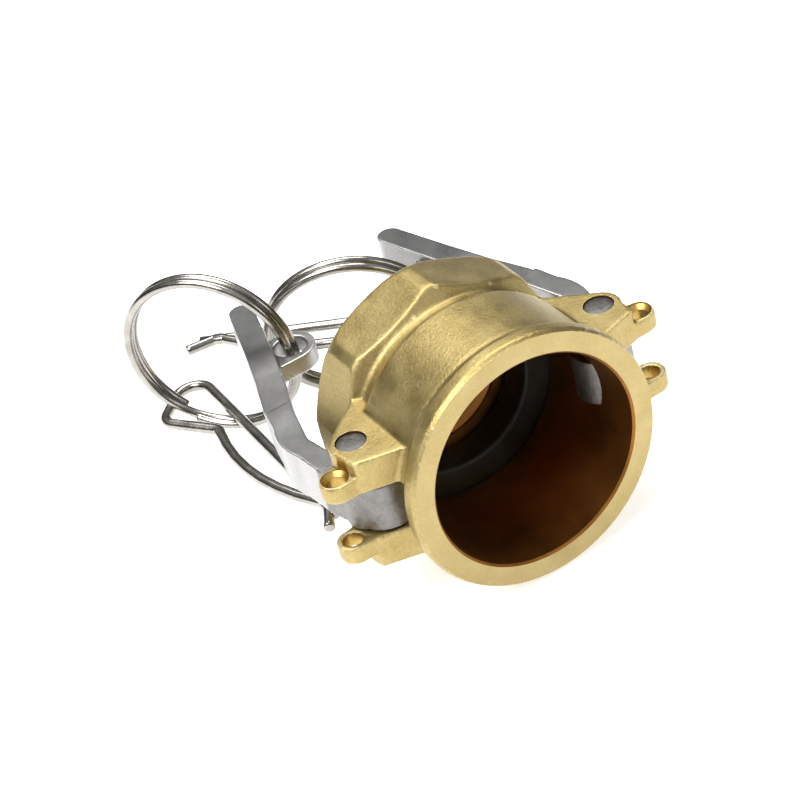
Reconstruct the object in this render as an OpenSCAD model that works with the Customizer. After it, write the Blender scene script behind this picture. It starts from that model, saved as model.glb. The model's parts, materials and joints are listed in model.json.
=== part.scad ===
// Camlock coupling cap, size 1 inch (DN 25), closed end, with two cam arms,
// pull rings and spring safety clips.
// X runs along the coupling axis and out of the mouth. Z runs along the cam pins.
// The origin is on the coupling axis, midway between the two cam pins.
// All sizes are in millimetres.

/* [Socket] */
// Bore that slides over the mating adapter
socket_bore = 37.1; // [36.9:0.05:37.6]
// Distance from the cam pins to the front face
face_x = 14; // [12:0.5:18]
// Outside of the rim band at the mouth
rim_d = 45.5; // [44:0.5:50]
// Outside of the barrel between the rim and the groove
barrel_d = 42.8; // [41:0.2:45]
// Distance from the cam pins back to the closed end
back_x = 20; // [18:0.5:30]
// Corner diameter of the octagonal rear section
rear_d = 45.4; // [44:0.2:50]

/* [Gasket] */
// Outside of the gasket
gasket_d = 39.7; // [38:0.1:42]
// Hole in the gasket
gasket_hole_d = 27; // [20:0.5:32]
// Thickness of the gasket
gasket_w = 6.35; // [4:0.05:8]

/* [Cam pins] */
// Distance from the coupling axis to each cam pin
pin_offset = 24; // [22:0.5:28]
// Cam pin diameter
pin_d = 5; // [4:0.1:7]
// Height over the two ears that hold a pin
ears_h = 21.3; // [18:0.1:28]
// Gap between the two ears
slot_h = 9.2; // [7:0.1:12]

/* [Safety clip lugs] */
// Place of the clip hole ahead of the pin
lug_x = 2.75; // [0:0.25:6]
// Place of the clip hole outside the pin
lug_out = 5.35; // [4:0.05:8]
// Clip hole diameter
lug_hole_d = 3.2; // [2.4:0.1:4]
// Top of each lug above the middle plane
lug_top = 7.8; // [6:0.1:10]

/* [Cam arms] */
// Distance from the pin to the far end of the grip, along the axis
arm_length = 59.5; // [50:0.5:80]
// Thickness of the arm between the ears
arm_h = 8.6; // [6:0.1:11]
// Thickness of the grip
grip_h = 7.4; // [5:0.1:11]
// Radius of the cam
cam_r = 5; // [4:0.1:7]

/* [Rings and clips] */
// Mean diameter of the pull ring
ring_d = 31; // [24:0.5:40]
// Wire of the pull ring
ring_wire = 1.7; // [1.2:0.1:2.5]
// Wire of the safety clip
clip_wire = 2; // [1.4:0.1:3]
// Straight leg of the safety clip
clip_leg = 49; // [35:1:60]

/* [Hidden] */
bore_r = socket_bore / 2;
rim_r = rim_d / 2;
face_r = rim_r - 0.65;
barrel_r = barrel_d / 2;
valley_r = barrel_r - 1.3;
rear_r = rear_d / 2;
rear_flat = 21.3;
rear_start = -6.5;
gasket_r = gasket_d / 2;
seat_x = -16.9;
pocket_x = -10.1;
land_back = 8.6;
relief_r = bore_r + 0.25;
gasket_x = seat_x + 0.15;
pin_r = pin_d / 2;
pin_play = 0.05;
ear_r = pin_r + 1.3;
ear_front = 9.4;
ear_back = -9.6;
window_front = 9.2;
window_back = -8.2;
lug_r = lug_hole_d / 2 + 1.15;
cam_at = [1.3, -2.25];
eye_at = [-43.6, -10.4];
eye_hole_r = 3;
eye_r = 4.5;
eye_h = 3.4;
ring_r = ring_d / 2;
turn_gap = ring_wire * 0.97;
ring_turn_left = 139.4;
ring_at_right = [-43.87, 13.59, -0.03];
ring_tilt_right = [-13.4, 26, -125.7];
clip_at_left = [-64.5, 23.1, -13.4];
clip_turn_left = 1.7;
clip_at_right = [-48.9, 21.4, -12];
clip_turn_right = -126.5;

// Points of a round stretch in a plane outline.
function arc(c, r, a0, a1, n = 8) =
    [for (i = [0 : n]) c + r * [cos(a0 + (a1 - a0) * i / n), sin(a0 + (a1 - a0) * i / n)]];

// Turns a profile of [radius, place along the axis] points about the X axis.
module turned(points) {
    rotate([0, 90, 0])
        rotate_extrude($fn = 128)
            polygon(points);
}

module rod_x(r, x0, x1) {
    translate([x0, 0, 0])
        rotate([0, 90, 0])
            cylinder(r = r, h = x1 - x0, $fn = 128);
}

// ---------- body ----------

module front_barrel() {
    turned(concat(
        [[0, face_x], [face_r, face_x], [rim_r, face_x - 0.65]],
        [[rim_r, face_x - 3.0]],
        arc([barrel_r + 1.4, 8.9], 1.5, 155, 200, 4),
        arc([barrel_r - 0.8, -4.6], 0.8, 0, -80, 4),
        [[valley_r, rear_start], [valley_r, rear_start - 1.6], [0, rear_start - 1.6]]
    ));
}

module rear_section() {
    edge = 3;
    intersection() {
        turned(concat(
            [[0, rear_start - 1.4], [valley_r, rear_start - 1.4]],
            [[valley_r + 0.3, rear_start - 1.9]],
            arc([rear_r - 1.2, -10.6], 1.2, 60, 0, 3),
            arc([rear_r - edge, edge - back_x], edge, 0, -90, 8),
            [[0, -back_x]]
        ));
        translate([-back_x - 1, 0, 0])
            rotate([0, 90, 0])
                cylinder(r = rear_flat / cos(22.5), h = back_x, $fn = 8);
    }
}

// One ear in plan, for the +Y side.
module ear_outline() {
    union() {
        polygon([[ear_front, 14], [5.6, 26.8], [0, pin_offset + ear_r],
                 [-2.7, pin_offset + 2.7], [ear_back, 18.4], [ear_back, 14]]);
        translate([0, pin_offset])
            circle(r = ear_r, $fn = 64);
    }
}

module lug_outline() {
    union() {
        translate([lug_x, pin_offset + lug_out])
            circle(r = lug_r, $fn = 64);
        translate([lug_x - lug_r, pin_offset])
            square([2 * lug_r, lug_out]);
    }
}

module ears() {
    translate([0, 0, -ears_h / 2])
        linear_extrude(height = ears_h)
            ear_outline();
    translate([0, 0, -lug_top])
        linear_extrude(height = 2 * lug_top)
            lug_outline();
}

module slot_and_holes() {
    translate([window_back, 0, -slot_h / 2])
        cube([window_front - window_back, pin_offset + 20, slot_h]);
    translate([-30, barrel_r + 0.3, -slot_h / 2])
        cube([30 + window_front, 30, slot_h]);
    translate([0, pin_offset, -ears_h])
        cylinder(r = pin_r, h = 2 * ears_h, $fn = 64);
    translate([lug_x, pin_offset + lug_out, -ears_h])
        cylinder(r = lug_hole_d / 2, h = 2 * ears_h, $fn = 64);
}

module body() {
    color([0.78, 0.66, 0.38])
    difference() {
        union() {
            front_barrel();
            rear_section();
            ears();
            mirror([0, 1, 0]) ears();
        }
        rod_x(bore_r, land_back - 0.5, face_x + 1);
        rod_x(relief_r, pocket_x - 0.5, land_back);
        turned([[0, face_x + 0.1], [bore_r + 0.4, face_x + 0.1],
                [bore_r, face_x - 0.4], [0, face_x - 0.4]]);
        rod_x(gasket_r + 0.3, seat_x, pocket_x);
        turned(concat([[0, seat_x + 0.1], [11.6, seat_x + 0.1]],
                      [[11.6, seat_x - 0.5], [10.4, seat_x - 1.1], [0, seat_x - 1.1]]));
        slot_and_holes();
        mirror([0, 1, 0]) slot_and_holes();
    }
}

// ---------- gasket ----------

module gasket() {
    hole = gasket_hole_d / 2;
    front = gasket_x + gasket_w;
    color([0.06, 0.06, 0.06])
    turned([[hole + 0.5, gasket_x], [gasket_r - 0.4, gasket_x],
            [gasket_r, gasket_x + 0.4], [gasket_r, front - 0.4],
            [gasket_r - 0.4, front], [hole + 0.5, front],
            [hole, front - 0.5], [hole, gasket_x + 0.5]]);
}

// ---------- cam arms ----------

// Arm in plan, for the +Y side, measured from its pin.
module arm_outline() {
    tip = -arm_length;
    polygon(concat(
        arc([tip + 2.3, -8.3], 2.3, 290, 110, 8),
        [[-45, -2.5], [-36, 0.2], [-27.5, 3.2]],
        arc([-15.4, -6.6], 12.5, 117, 72, 6),
        [[-5, 4.7], [-1.5, 3.9]],
        [[0, -3], [-3.2, -3.6]],
        arc([-8.2, -3.7], 4.6, 30, 100, 5),
        arc([-14.3, -2.4], 4, 72, 112, 4),
        [[-23.5, -0.6], [-32, -3.7], [-42, -6.6]]
    ));
}

module arm() {
    color([0.62, 0.62, 0.64])
    difference() {
        union() {
            translate([0, 0, -arm_h / 2])
                linear_extrude(height = arm_h)
                    intersection() {
                        arm_outline();
                        translate([-26, -20])
                            square([40, 40]);
                    }
            translate([0, 0, -grip_h / 2])
                linear_extrude(height = grip_h)
                    arm_outline();
            translate([0, 0, -arm_h / 2]) {
                cylinder(r = pin_r + 1.5, h = arm_h, $fn = 64);
                translate([cam_at[0], cam_at[1], 0])
                    cylinder(r = cam_r, h = arm_h, $fn = 96);
            }
            translate([eye_at[0], eye_at[1], -eye_h / 2]) {
                cylinder(r = eye_r, h = eye_h, $fn = 64);
                translate([-eye_r, 0, 0])
                    cube([2 * eye_r, 5, eye_h]);
            }
        }
        translate([0, 0, -arm_h])
            cylinder(r = pin_r + pin_play, h = 2 * arm_h, $fn = 64);
        translate([eye_at[0], eye_at[1], -eye_h])
            cylinder(r = eye_hole_r, h = 2 * eye_h, $fn = 64);
    }
}

module arm_right() {
    translate([0, pin_offset, 0])
        arm();
}

module arm_left() {
    mirror([0, 1, 0])
        arm_right();
}

// ---------- cam pins ----------

module pin() {
    color([0.45, 0.45, 0.46])
    translate([0, pin_offset, -ears_h / 2])
        cylinder(r = pin_r, h = ears_h, $fn = 64);
}

module pin_right() {
    pin();
}

module pin_left() {
    mirror([0, 1, 0])
        pin();
}

// ---------- pull rings ----------

// Split ring of two turns in the XZ plane, with its wire through the origin.
module ring() {
    color([0.66, 0.64, 0.6])
    translate([ring_r, 0, 0])
        rotate([90, 0, 0])
            for (side = [-1, 1])
                translate([0, 0, side * turn_gap / 2])
                    rotate_extrude($fn = 96)
                        translate([ring_r, 0])
                            circle(r = ring_wire / 2, $fn = 32);
}

module ring_right() {
    translate(ring_at_right)
        rotate(ring_tilt_right)
            ring();
}

module ring_left() {
    mirror([0, 1, 0])
        translate([eye_at[0], pin_offset + eye_at[1], 0])
            rotate([0, 0, ring_turn_left])
                ring();
}

// ---------- safety clips ----------

// Wire that runs straight and then bends, once for each [straight, bend radius, bend angle].
// A short core joins each run to the next across a hairline gap.
module wire_run(steps, i = 0) {
    if (i < len(steps)) {
        run = steps[i][0];
        bend = steps[i][1];
        swing = abs(steps[i][2]);
        side = steps[i][2] < 0 ? 1 : 0;
        gap = 0.02;
        gap_angle = gap / bend * 180 / PI;
        translate([gap, 0, 0])
            rotate([0, 90, 0])
                cylinder(r = clip_wire / 2, h = run - 2 * gap, $fn = 32);
        if (swing > 0)
            translate([run, 0, 0])
                mirror([0, side, 0]) {
                    joint_core();
                    translate([0, bend, 0])
                        rotate([0, 0, gap_angle - 90])
                            rotate_extrude(angle = swing - 2 * gap_angle, $fn = 64)
                                translate([bend, 0])
                                    circle(r = clip_wire / 2, $fn = 32);
                    translate([bend * sin(swing), bend * (1 - cos(swing)), 0])
                        rotate([0, 0, swing])
                            mirror([0, side, 0]) {
                                joint_core();
                                wire_run(steps, i + 1);
                            }
                }
    }
}

module joint_core() {
    translate([-0.3, 0, 0])
        rotate([0, 90, 0])
            cylinder(r = clip_wire * 0.42, h = 0.6, $fn = 32);
}

// The clip lies flat, with its straight leg from the far end back along X to the origin.
module clip() {
    color([0.64, 0.63, 0.6])
    translate([clip_leg, 0, 0])
        rotate([0, 0, 180])
            wire_run([
                [clip_leg + 0.5, 3.6, -136],
                [5.2, 2.6, -79],
                [9.0, 1.8, 48],
                [0.8, 42, -42],
                [1.5, 1.6, 56],
                [5.6, 1, 0]
            ]);
}

module clip_left() {
    mirror([0, 1, 0])
        translate(clip_at_left)
            rotate([0, 0, clip_turn_left])
                clip();
}

module clip_right() {
    translate(clip_at_right)
        rotate([0, 0, clip_turn_right])
            clip();
}

body();
gasket();
arm_left();
arm_right();
pin_left();
pin_right();
ring_left();
ring_right();
clip_left();
clip_right();
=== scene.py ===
"""Camlock coupling cap, size 1 inch: the looks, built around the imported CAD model.

Everything is in metres in the CAD frame. X is the coupling's axis and points out of the mouth,
Z runs along the cam pins, and the origin is on the axis midway between them.
"""

import json
import math

import bmesh
import bpy
from mathutils import Euler, Matrix, Vector


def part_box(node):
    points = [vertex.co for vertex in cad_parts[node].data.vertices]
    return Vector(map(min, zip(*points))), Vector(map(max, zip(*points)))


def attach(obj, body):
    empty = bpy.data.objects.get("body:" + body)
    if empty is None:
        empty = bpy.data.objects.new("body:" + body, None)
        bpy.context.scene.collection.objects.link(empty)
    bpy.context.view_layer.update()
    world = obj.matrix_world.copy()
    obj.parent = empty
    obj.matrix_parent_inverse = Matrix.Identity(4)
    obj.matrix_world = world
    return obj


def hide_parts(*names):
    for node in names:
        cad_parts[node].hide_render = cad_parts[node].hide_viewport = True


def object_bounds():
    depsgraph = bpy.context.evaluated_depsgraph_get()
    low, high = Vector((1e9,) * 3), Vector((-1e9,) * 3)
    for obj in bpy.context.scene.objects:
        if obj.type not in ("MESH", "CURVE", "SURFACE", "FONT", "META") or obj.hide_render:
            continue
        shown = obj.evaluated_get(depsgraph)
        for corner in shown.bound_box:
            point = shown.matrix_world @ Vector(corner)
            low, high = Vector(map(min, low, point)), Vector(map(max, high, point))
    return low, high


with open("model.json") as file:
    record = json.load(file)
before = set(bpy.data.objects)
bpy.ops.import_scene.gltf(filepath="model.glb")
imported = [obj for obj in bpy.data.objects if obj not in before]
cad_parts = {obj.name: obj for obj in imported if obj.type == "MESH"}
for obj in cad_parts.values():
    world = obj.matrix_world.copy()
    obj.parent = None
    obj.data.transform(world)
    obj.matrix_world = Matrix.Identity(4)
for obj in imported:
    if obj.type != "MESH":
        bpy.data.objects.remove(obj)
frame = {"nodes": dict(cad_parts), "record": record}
cad_low, cad_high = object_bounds()
scene = bpy.context.scene

MM = 0.001
SIDES = {"left": -1, "right": 1}
MOUNTS = {m["name"]: m for m in frame["record"]["mounts"]}


# ---------- the frame's own sizes ----------

BORE_R = MOUNTS["socket"]["dims"]["r_mm"] * MM
LUG_HOLE_R = MOUNTS["clip_hole_left"]["dims"]["r_mm"] * MM
FACE_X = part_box("body")[1].x
PIN_LOW, PIN_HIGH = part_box("pin_right")
PIN_AT = (PIN_LOW + PIN_HIGH) / 2
PIN_R = (PIN_HIGH.x - PIN_LOW.x) / 2
GASKET_LOW, GASKET_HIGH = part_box("gasket")
GASKET_R = GASKET_HIGH.y
SEAT_X = GASKET_LOW.x - 0.15 * MM
LUG_TOP = MOUNTS["clip_hole_left"]["dims"]["length_mm"] * MM / 2


# ---------- sizes the frame doesn't give ----------

POCKET_X = -10.1 * MM
RIM_R = 22.75 * MM
GASKET_WIDTH = 6.35 * MM
FLOOR_R = 11.6 * MM
RECESS_R = 10.4 * MM
RING_R = 15.5 * MM
RING_WIRE = 1.7 * MM
HALF_TURN_GAP = RING_WIRE * 0.485
RING_START = 2.2
CLIP_WIRE = 2.0 * MM
# The clip's wire as straight run, bend radius and bend angle, in millimetres and degrees.
CLIP_LEG = 49
CLIP_STEPS = [(CLIP_LEG + 0.5, 3.6, -136), (5.2, 2.6, -79), (9.0, 1.8, 48), (0.8, 42, -42),
              (1.5, 1.6, 56), (5.6, 1, 0)]
CAST_SKIN = 0.3 * MM
ARM_SKIN = 0.2 * MM
CAST_END_X = -6 * MM


# ---------- mesh helpers ----------

def new_object(name, mesh):
    obj = bpy.data.objects.new(name, mesh)
    scene.collection.objects.link(obj)
    return obj


def mesh_from(name, points, faces):
    mesh = bpy.data.meshes.new(name)
    mesh.from_pydata(points, [], faces)
    mesh.update()
    mesh.polygons.foreach_set("use_smooth", [True] * len(mesh.polygons))
    return mesh


def lathe(name, profile, axis="X", centre=(0, 0, 0), steps=192):
    """Closed solid of revolution. The profile runs from axis to axis as (along, radius) pairs."""
    points, faces, rings = [], [], []
    for along, radius in profile:
        start = len(points)
        count = steps if radius > 1e-9 else 1
        for i in range(count):
            angle = math.tau * i / steps
            points.append((along, radius * math.cos(angle), radius * math.sin(angle)))
        rings.append((start, count))
    for (a, a_count), (b, b_count) in zip(rings, rings[1:]):
        for i in range(steps):
            j = (i + 1) % steps
            loop = [a + i % a_count, a + j % a_count, b + j % b_count, b + i % b_count]
            faces.append(list(dict.fromkeys(loop)))
    obj = new_object(name, mesh_from(name, points, faces))
    if axis == "Z":
        obj.data.transform(Matrix.Rotation(-math.pi / 2, 4, "Y"))
    obj.data.transform(Matrix.Translation(Vector(centre)))
    tidy(obj)
    return obj


def tidy(obj, gap=1e-7):
    """Joins doubled points and turns every face outwards."""
    bm = bmesh.new()
    bm.from_mesh(obj.data)
    bmesh.ops.remove_doubles(bm, verts=bm.verts, dist=gap)
    bmesh.ops.recalc_face_normals(bm, faces=bm.faces)
    bm.to_mesh(obj.data)
    bm.free()


def join(name, objects):
    """One object from several, which are used up."""
    bm = bmesh.new()
    for obj in objects:
        bm.from_mesh(obj.data)
    mesh = bpy.data.meshes.new(name)
    bm.to_mesh(mesh)
    bm.free()
    for obj in objects:
        bpy.data.objects.remove(obj)
    return new_object(name, mesh)


def apply_modifiers(obj):
    depsgraph = bpy.context.evaluated_depsgraph_get()
    mesh = bpy.data.meshes.new_from_object(obj.evaluated_get(depsgraph), depsgraph=depsgraph)
    obj.modifiers.clear()
    obj.data = mesh


def copy_of(node):
    obj = new_object(node + "_shape", frame["nodes"][node].data.copy())
    obj.data.materials.clear()
    tidy(obj, 1e-6)
    return obj


def soften(obj, voxel, passes):
    """Remeshes into one skin and rounds its edges, as a casting has them."""
    remesh = obj.modifiers.new("skin", "REMESH")
    remesh.mode = "VOXEL"
    remesh.voxel_size = voxel
    rounder = obj.modifiers.new("round", "SMOOTH")
    rounder.factor = 0.5
    rounder.iterations = passes
    apply_modifiers(obj)


def carve(obj, cutters):
    """Cuts crisp machined surfaces, which keep the cutters' material."""
    for cutter in cutters:
        cut = obj.modifiers.new("cut", "BOOLEAN")
        cut.operation = "DIFFERENCE"
        cut.object = cutter
        cut.solver = "MANIFOLD"
        cut.material_mode = "TRANSFER"
        apply_modifiers(obj)
        bpy.data.objects.remove(cutter)


def shade(obj, angle=35):
    """Smooth shading that keeps edges sharper than the angle."""
    obj.data.polygons.foreach_set("use_smooth", [True] * len(obj.data.polygons))
    obj.data.set_sharp_from_angle(angle=math.radians(angle))


def tube(name, path, radius, sides=20, nose=0.25):
    """A round wire along a path, with slightly rounded ends. The frame is carried without twist."""
    points, faces = [], []
    path = [Vector(p) for p in path]
    tangents = []
    for i in range(len(path)):
        tangents.append((path[min(i + 1, len(path) - 1)] - path[max(i - 1, 0)]).normalized())
    side = tangents[0].orthogonal().normalized()
    rows = []
    for p, t in zip(path, tangents):
        side = (side - t * side.dot(t)).normalized()
        rows.append((p, t, side, t.cross(side)))
    first, last = rows[0], rows[-1]
    bevel = radius * nose
    caps_in = [(first[0] - first[1] * bevel * (1 - c), s) for c, s in ((0.0, 0.55), (0.45, 0.86))]
    caps_out = [(last[0] + last[1] * bevel * (1 - c), s) for c, s in ((0.45, 0.86), (0.0, 0.55))]
    loops = [(p, s, first[2], first[3]) for p, s in caps_in]
    loops += [(p, 1.0, u, v) for p, t, u, v in rows]
    loops += [(p, s, last[2], last[3]) for p, s in caps_out]
    for p, s, u, v in loops:
        for k in range(sides):
            angle = math.tau * k / sides
            points.append(p + (u * math.cos(angle) + v * math.sin(angle)) * radius * s)
    for i in range(len(loops) - 1):
        for k in range(sides):
            a, b = i * sides + k, i * sides + (k + 1) % sides
            faces.append((a, b, b + sides, a + sides))
    faces.append(tuple(range(sides - 1, -1, -1)))
    faces.append(tuple(range(len(points) - sides, len(points))))
    obj = new_object(name, mesh_from(name, points, faces))
    tidy(obj)
    shade(obj, 50)
    return obj


# ---------- materials ----------

def link(tree, a, b):
    tree.links.new(a, b)


def noise(tree, coords, size_mm, detail=3.0, rough=0.55):
    """Fractal noise whose blobs are about this many millimetres across."""
    node = tree.nodes.new("ShaderNodeTexNoise")
    node.inputs["Scale"].default_value = 1 / (size_mm * MM)
    node.inputs["Detail"].default_value = detail
    node.inputs["Roughness"].default_value = rough
    link(tree, coords, node.inputs["Vector"])
    return node.outputs["Fac"]


def ramp(tree, value, stops):
    """Colour ramp from (place, colour) stops."""
    node = tree.nodes.new("ShaderNodeValToRGB")
    elements = node.color_ramp.elements
    while len(elements) < len(stops):
        elements.new(0.5)
    for element, (place, colour) in zip(elements, stops):
        element.position = place
        element.color = (*colour, 1) if len(colour) == 3 else colour
    link(tree, value, node.inputs["Fac"])
    return node.outputs["Color"]


def spread(tree, value, low, high, from_low=0.3, from_high=0.7):
    node = tree.nodes.new("ShaderNodeMapRange")
    node.inputs["From Min"].default_value = from_low
    node.inputs["From Max"].default_value = from_high
    node.inputs["To Min"].default_value = low
    node.inputs["To Max"].default_value = high
    link(tree, value, node.inputs["Value"])
    return node.outputs["Result"]


def mix(tree, factor, a, b, kind="MIX"):
    node = tree.nodes.new("ShaderNodeMix")
    node.data_type = "RGBA"
    node.blend_type = kind
    for socket, value in ((node.inputs["Factor"], factor), (node.inputs[6], a), (node.inputs[7], b)):
        if isinstance(value, (int, float)):
            socket.default_value = value
        elif isinstance(value, tuple):
            socket.default_value = (*value, 1)
        else:
            link(tree, value, socket)
    return node.outputs[2]


def bump(tree, height, depth_mm, under=None, strength=1.0):
    node = tree.nodes.new("ShaderNodeBump")
    node.inputs["Distance"].default_value = depth_mm * MM
    node.inputs["Strength"].default_value = strength
    link(tree, height, node.inputs["Height"])
    if under is not None:
        link(tree, under, node.inputs["Normal"])
    return node.outputs["Normal"]


def stretched(tree, coords, scale):
    node = tree.nodes.new("ShaderNodeMapping")
    node.inputs["Scale"].default_value = scale
    link(tree, coords, node.inputs["Vector"])
    return node.outputs["Vector"]


def start_material(name, metallic):
    mat = bpy.data.materials.new(name)
    mat.use_nodes = True
    tree = mat.node_tree
    shader = tree.nodes["Principled BSDF"]
    shader.inputs["Metallic"].default_value = metallic
    coords = tree.nodes.new("ShaderNodeTexCoord").outputs["Object"]
    edges = tree.nodes.new("ShaderNodeNewGeometry").outputs["Pointiness"]
    return mat, tree, shader, coords, edges


def metal(name, dark, light, worn, rough, patch_mm, grain, streak=None, wear=None):
    """Bare metal: patchy colour, brighter worn edges, painted shade in the hollows of castings, and
    grain given as (size, depth) in mm.

    Wear follows the edges of finely meshed castings. Turned surfaces get it as faint worn patches.
    """
    mat, tree, shader, coords, edges = start_material(name, 1.0)
    patches = noise(tree, coords, patch_mm, 5.0)
    colour = ramp(tree, patches, [(0.3, dark), (0.7, light)])
    if wear:
        edge = ramp(tree, edges, [(wear[0], (0, 0, 0)), (wear[1], (1, 1, 1))])
        colour = mix(tree, edge, colour, worn)
        # Painted shade: hollows (low pointiness) are darkened to 0.4 of the dark colour, standing in
        # for the shade that falls in creases.
        hollow_painted_shade = ramp(tree, edges, [(0.42, (1, 1, 1)), (0.49, (0, 0, 0))])
        colour = mix(tree, hollow_painted_shade, colour, tuple(c * 0.4 for c in dark))
    else:
        rubbed = ramp(tree, noise(tree, coords, patch_mm * 0.6, 6.0, 0.65),
                      [(0.6, (0, 0, 0)), (0.75, (0.5, 0.5, 0.5))])
        colour = mix(tree, rubbed, colour, worn)
    normal = None
    for size, depth in grain:
        fine = noise(tree, coords, size, 4.0, 0.6)
        normal = bump(tree, fine, depth, normal)
        speck = ramp(tree, fine, [(0.3, (0.72, 0.72, 0.72)), (0.6, (1, 1, 1))])
        colour = mix(tree, 0.6, colour, mix(tree, 1.0, colour, speck, "MULTIPLY"))
    if streak:
        scale, depth = streak
        lines = noise(tree, stretched(tree, coords, scale), 1.0, 2.0)
        normal = bump(tree, lines, depth, normal)
    link(tree, colour, shader.inputs["Base Color"])
    link(tree, spread(tree, patches, rough[0], rough[1]), shader.inputs["Roughness"])
    if normal is not None:
        link(tree, normal, shader.inputs["Normal"])
    return mat


def rubber(name):
    mat, tree, shader, coords, edges = start_material(name, 0.0)
    shader.inputs["Specular IOR Level"].default_value = 0.35
    bloom = noise(tree, coords, 4.0, 5.0)
    link(tree, ramp(tree, bloom, [(0.3, (0.006, 0.007, 0.005)), (0.75, (0.02, 0.021, 0.017))]),
         shader.inputs["Base Color"])
    link(tree, spread(tree, bloom, 0.42, 0.6), shader.inputs["Roughness"])
    link(tree, bump(tree, noise(tree, coords, 0.25), 0.01), shader.inputs["Normal"])
    return mat


CAST_BRASS = metal(
    "cast_brass", (0.40, 0.30, 0.115), (0.52, 0.41, 0.18), (0.78, 0.67, 0.36),
    rough=(0.38, 0.50), patch_mm=5.0, grain=[(0.55, 0.07), (0.22, 0.035)], wear=(0.52, 0.58))
TURNED_BRASS = metal(
    "turned_brass", (0.36, 0.275, 0.115), (0.45, 0.355, 0.165), (0.56, 0.46, 0.24),
    rough=(0.30, 0.40), patch_mm=7.0, grain=[(0.18, 0.008)])
# Machined brass of the bore and pin holes. The metal is real, but its deep orange-brown is painted: it
# stands in for the glow of light bounced round inside the dim bore.
BORE_BRASS_PAINTED_GLOW = metal(
    "bore_brass_painted_glow", (0.27, 0.120, 0.030), (0.38, 0.155, 0.034), (0.42, 0.19, 0.05),
    rough=(0.40, 0.52), patch_mm=9.0, grain=[(0.3, 0.010)])
HOLE_BRASS = metal(
    "hole_brass", (0.40, 0.26, 0.07), (0.55, 0.38, 0.12), (0.70, 0.54, 0.24),
    rough=(0.30, 0.44), patch_mm=1.5, grain=[(0.2, 0.02)])
ARM_STEEL = metal(
    "arm_steel", (0.35, 0.345, 0.34), (0.43, 0.425, 0.42), (0.80, 0.79, 0.78),
    rough=(0.26, 0.36), patch_mm=9.0, grain=[(0.3, 0.012)], streak=((0.4, 7.0, 7.0), 0.010),
    wear=(0.515, 0.56))
CAM_STEEL = metal(
    "cam_steel", (0.20, 0.193, 0.186), (0.30, 0.29, 0.28), (0.52, 0.51, 0.49),
    rough=(0.42, 0.56), patch_mm=2.0, grain=[(0.8, 0.09), (0.25, 0.03)], wear=(0.53, 0.6))
PIN_STEEL = metal(
    "pin_steel", (0.11, 0.105, 0.10), (0.19, 0.18, 0.17), (0.27, 0.26, 0.25),
    rough=(0.42, 0.55), patch_mm=1.0, grain=[(0.5, 0.05), (0.2, 0.02)])
WIRE_STEEL = metal(
    "wire_steel", (0.30, 0.285, 0.26), (0.44, 0.42, 0.385), (0.60, 0.585, 0.55),
    rough=(0.16, 0.25), patch_mm=3.0, grain=[(0.2, 0.008)])
RUBBER = rubber("black_rubber")


# ---------- body ----------

def plug(name, radius, low, high, axis, centre=(0, 0, 0)):
    return lathe(name, [(low, 0), (low, radius), (high, radius), (high, 0)], axis, centre, 96)


def body_casting():
    """The casting with its cored faces left rough and rounded, then machined at the mouth and holes."""
    lug_x = MOUNTS["clip_hole_left"]["pos_m"][0]
    lug_y = abs(MOUNTS["clip_hole_left"]["pos_m"][1])
    fills = [plug("bore_fill", BORE_R + 1.2 * MM, SEAT_X - MM, FACE_X, "X"),
             plug("face_stock", RIM_R - 0.5 * MM, FACE_X - 1.5 * MM, FACE_X + 0.9 * MM, "X")]
    for side in SIDES.values():
        fills.append(plug("pin_fill", PIN_R + 0.2 * MM, PIN_LOW.z, PIN_HIGH.z, "Z",
                          (PIN_AT.x, PIN_AT.y * side, 0)))
    body = join("body_casting", [copy_of("body")] + fills)
    soften(body, CAST_SKIN, 5)
    body.data.materials.append(CAST_BRASS)
    chamfer = 0.4 * MM
    bore = lathe("bore_cut", [
        (SEAT_X - 1.0 * MM, 0), (SEAT_X - 1.0 * MM, RECESS_R), (SEAT_X - 0.4 * MM, FLOOR_R),
        (SEAT_X, FLOOR_R), (SEAT_X, GASKET_R + 0.3 * MM), (POCKET_X, GASKET_R + 0.3 * MM),
        (POCKET_X, BORE_R), (FACE_X - chamfer, BORE_R), (FACE_X + 0.1 * MM, BORE_R + chamfer * 1.25),
        (FACE_X + 0.1 * MM, 0)])
    bore.data.materials.append(BORE_BRASS_PAINTED_GLOW)
    face = lathe("face_cut", [(FACE_X - 0.03 * MM, 0), (FACE_X - 0.03 * MM, 30 * MM),
                              (FACE_X + 3 * MM, 30 * MM), (FACE_X + 3 * MM, 0)])
    face.data.materials.append(TURNED_BRASS)
    cutters = [bore, face]
    for side in SIDES.values():
        pin_hole = plug("pin_hole", PIN_R + 0.12 * MM, -30 * MM, 30 * MM, "Z",
                        (PIN_AT.x, PIN_AT.y * side, 0))
        pin_hole.data.materials.append(BORE_BRASS_PAINTED_GLOW)
        spot = LUG_HOLE_R + 0.75 * MM
        lug_hole = lathe("lug_hole", [
            (-30 * MM, 0), (-30 * MM, spot), (-LUG_TOP + 0.25 * MM, spot),
            (-LUG_TOP + 0.9 * MM, LUG_HOLE_R), (LUG_TOP - 0.9 * MM, LUG_HOLE_R),
            (LUG_TOP - 0.25 * MM, spot), (30 * MM, spot), (30 * MM, 0)],
            "Z", (lug_x, lug_y * side, 0), 64)
        lug_hole.data.materials.append(HOLE_BRASS)
        cutters += [pin_hole, lug_hole]
    carve(body, cutters)
    shade(body, 32)
    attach(body, "housing")
    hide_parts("body")


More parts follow.
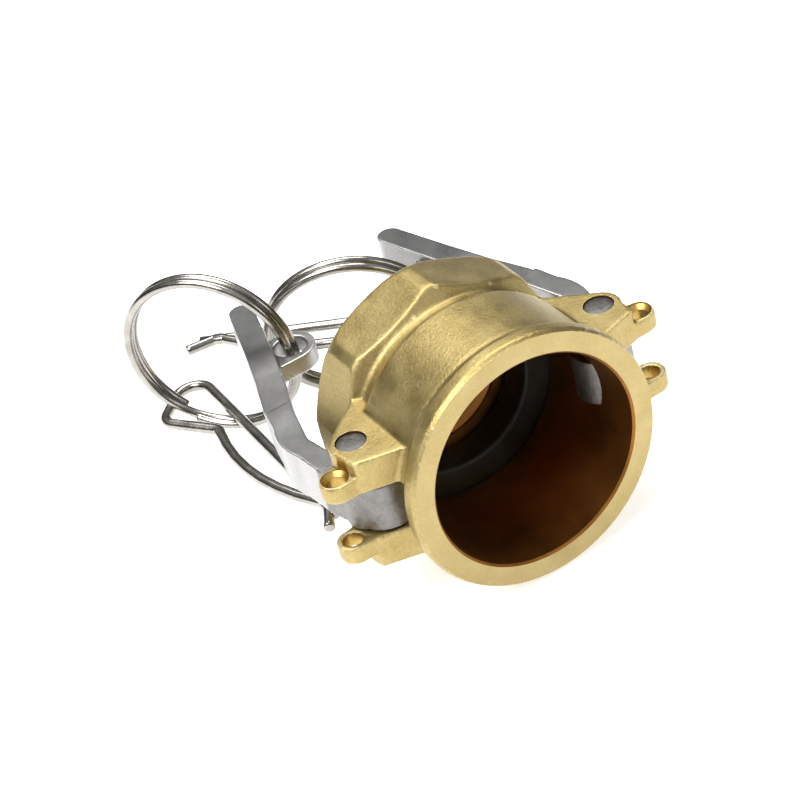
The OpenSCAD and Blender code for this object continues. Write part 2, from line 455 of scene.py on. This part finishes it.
def gasket_ring():
    hole = GASKET_R - GASKET_WIDTH
    low, high = GASKET_LOW.x, GASKET_HIGH.x
    edge = 0.45 * MM
    profile = [(low, hole + edge), (low, GASKET_R - edge), (low + edge, GASKET_R),
               (high - edge, GASKET_R), (high, GASKET_R - edge), (high, hole + edge),
               (high - edge, hole), (low + edge, hole), (low, hole + edge)]
    gasket = lathe("gasket_ring", profile)
    soft = gasket.modifiers.new("soft_edges", "BEVEL")
    soft.width = 0.25 * MM
    soft.segments = 3
    soft.limit_method = "ANGLE"
    apply_modifiers(gasket)
    gasket.data.materials.append(RUBBER)
    shade(gasket, 40)
    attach(gasket, "housing")
    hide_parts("gasket")


def cam_pin(name, side):
    """Pin with slightly domed, hammered ends."""
    top = PIN_HIGH.z
    dome = [(top - 0.02 * MM, 0), (top - 0.05 * MM, PIN_R * 0.55), (top - 0.14 * MM, PIN_R * 0.85),
            (top - 0.32 * MM, PIN_R)]
    profile = [(-z, r) for z, r in dome] + [(z, r) for z, r in reversed(dome)]
    pin = lathe("cam_" + name, profile, "Z", (PIN_AT.x, PIN_AT.y * side, 0), 96)
    pin.data.materials.append(PIN_STEEL)
    shade(pin, 60)
    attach(pin, "housing")
    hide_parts(name)


# ---------- arms ----------

def cam_arm(name):
    """Arm with a ground and polished grip and a rough cast cam."""
    arm = copy_of(name)
    soften(arm, ARM_SKIN, 2)
    arm.data.materials.append(ARM_STEEL)
    arm.data.materials.append(CAM_STEEL)
    for face in arm.data.polygons:
        if face.center.x > CAST_END_X:
            face.material_index = 1
    arm.name = "cam_" + name
    shade(arm, 60)
    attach(arm, name)
    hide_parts(name)


# ---------- rings and clips ----------

def ring_path(eye, towards, normal, radius, offset, start_angle, turns=1.97, count=260):
    """Two turns of wire that cross over once. It starts at the angle from the eye, round the normal."""
    centre = eye + towards * radius
    across = normal.cross(towards)
    path = []
    for i in range(count + 1):
        share = i / count
        angle = start_angle + math.tau * turns * share
        step = min(1, max(0, (share - 0.44) / 0.12))
        lean = (step * step * (3 - 2 * step) * 2 - 1) * offset
        spring = radius + 0.25 * MM * math.sin(math.pi * share) ** 2
        direction = -towards * math.cos(angle) + across * math.sin(angle)
        path.append(centre + direction * spring + normal * lean)
    return path


def pull_ring(name):
    ring = tube("pull_" + name, ring_path(*RING_POSE[name]), RING_WIRE / 2)
    ring.data.materials.append(WIRE_STEEL)
    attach(ring, name)
    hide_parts(name)


def clip_path(start, turn, side, height):
    """The clip's wire from the end of its straight leg, round the loop and along the wavy leg."""
    place, heading = Vector((CLIP_LEG, 0)), math.pi
    path = [place.copy()]
    for run, bend, swing in CLIP_STEPS:
        ahead = Vector((math.cos(heading), math.sin(heading)))
        for k in range(1, 9):
            path.append(place + ahead * run * k / 8)
        place = place + ahead * run
        if swing:
            sense = 1 if swing > 0 else -1
            centre = place + Vector((-ahead.y, ahead.x)) * bend * sense
            count = max(6, int(abs(swing) / 6))
            for k in range(1, count + 1):
                angle = math.radians(swing) * k / count
                arm = place - centre
                turned = Vector((arm.x * math.cos(angle) - arm.y * math.sin(angle),
                                 arm.x * math.sin(angle) + arm.y * math.cos(angle)))
                path.append(centre + turned)
            place = path[-1].copy()
            heading += math.radians(swing)
    c, s = math.cos(math.radians(turn)), math.sin(math.radians(turn))
    return [Vector(((start[0] + p.x * c - p.y * s) * MM, (start[1] + p.x * s + p.y * c) * MM * side,
                    height * MM)) for p in path]


def safety_clip(name):
    clip = tube(name.replace("clip", "safety_clip"), clip_path(**CLIP_POSE[name]), CLIP_WIRE / 2)
    clip.data.materials.append(WIRE_STEEL)
    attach(clip, name)
    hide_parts(name)


def ring_pose(through, turn):
    """Path settings of a ring whose wire passes through a point, turned by angles in degrees."""
    spin = Euler([math.radians(t) for t in turn]).to_matrix()
    return (Vector(through) * MM, spin @ Vector((1, 0, 0)), spin @ Vector((0, 1, 0)), RING_R,
            HALF_TURN_GAP, RING_START)


RING_POSE = {
    "ring_left": ring_pose((-43.6, -13.6, 0), (0, 0, -139.4)),
    "ring_right": ring_pose((-43.87, 13.59, -0.03), (-13.4, 26, -125.7)),
}
CLIP_POSE = {
    "clip_left": dict(start=(-64.5, 23.1), turn=1.7, side=-1, height=-13.4),
    "clip_right": dict(start=(-48.9, 21.4), turn=-126.5, side=1, height=-12),
}


# ---------- stage ----------

def camera():
    """Looks down on the mouth from the front left, tipped a little clockwise."""
    place = Vector((285.525, -129.918, 231.578)) * MM
    ahead = Vector((-0.7559, 0.30665, -0.57844))
    right = Vector((0.50581, 0.83449, -0.21859))
    ahead.normalize()
    right = (right - ahead * right.dot(ahead)).normalized()
    upward = right.cross(ahead)
    data = bpy.data.cameras.new("camera")
    data.sensor_width = 36
    data.lens = 108
    data.clip_start, data.clip_end = 0.01, 5
    cam = bpy.data.objects.new("camera", data)
    scene.collection.objects.link(cam)
    cam.matrix_world = Matrix((
        (right.x, upward.x, -ahead.x, place.x), (right.y, upward.y, -ahead.y, place.y),
        (right.z, upward.z, -ahead.z, place.z), (0, 0, 0, 1)))
    scene.camera = cam


def softbox(name, place, target, size, power, colour=(1, 1, 1)):
    data = bpy.data.lights.new(name, "AREA")
    data.shape = "RECTANGLE"
    data.size, data.size_y = size
    data.energy = power
    data.color = colour
    obj = bpy.data.objects.new(name, data)
    scene.collection.objects.link(obj)
    obj.location = place
    obj.rotation_euler = (Vector(target) - Vector(place)).to_track_quat("-Z", "Y").to_euler()


def studio_room():
    """A dim room with a bright ceiling, so that metal has something to reflect."""
    world = bpy.data.worlds.new("studio")
    world.use_nodes = True
    tree = world.node_tree
    coords = tree.nodes.new("ShaderNodeTexCoord").outputs["Generated"]
    split = tree.nodes.new("ShaderNodeSeparateXYZ")
    link(tree, coords, split.inputs[0])
    sky = ramp(tree, split.outputs["Z"], [(0.0, (0.05, 0.05, 0.05)), (0.35, (0.12, 0.12, 0.12)),
                                          (0.9, (0.62, 0.62, 0.62))])
    link(tree, sky, tree.nodes["Background"].inputs["Color"])
    tree.nodes["Background"].inputs["Strength"].default_value = 0.9
    scene.world = world


def stage():
    floor_z = cad_low.z - 0.3 * MM
    half = 3.0
    floor = new_object("floor", mesh_from("floor", [
        (-half, -half, floor_z), (half, -half, floor_z), (half, half, floor_z), (-half, half, floor_z)],
        [(0, 1, 2, 3)]))
    mat = bpy.data.materials.new("floor")
    mat.use_nodes = True
    shader = mat.node_tree.nodes["Principled BSDF"]
    shader.inputs["Base Color"].default_value = (0.9, 0.9, 0.9, 1)
    shader.inputs["Roughness"].default_value = 0.9
    shader.inputs["Emission Color"].default_value = (1, 1, 1, 1)
    shader.inputs["Emission Strength"].default_value = 0.62
    floor.data.materials.append(mat)
    studio_room()
    softbox("key", (0.10, -0.40, 0.60), (0, 0, 0), (0.45, 0.45), 5.5)
    softbox("top", (-0.35, 0.15, 0.75), (0, 0, 0), (0.7, 0.35), 5.0)
    softbox("front", (0.75, 0.30, 0.40), (0, 0, 0), (0.3, 0.5), 1.2)
    scene.view_settings.view_transform = "Standard"


camera()
stage()
body_casting()
gasket_ring()
for word, side in SIDES.items():
    cam_pin("pin_" + word, side)
    cam_arm("arm_" + word)
    pull_ring("ring_" + word)
    safety_clip("clip_" + word)
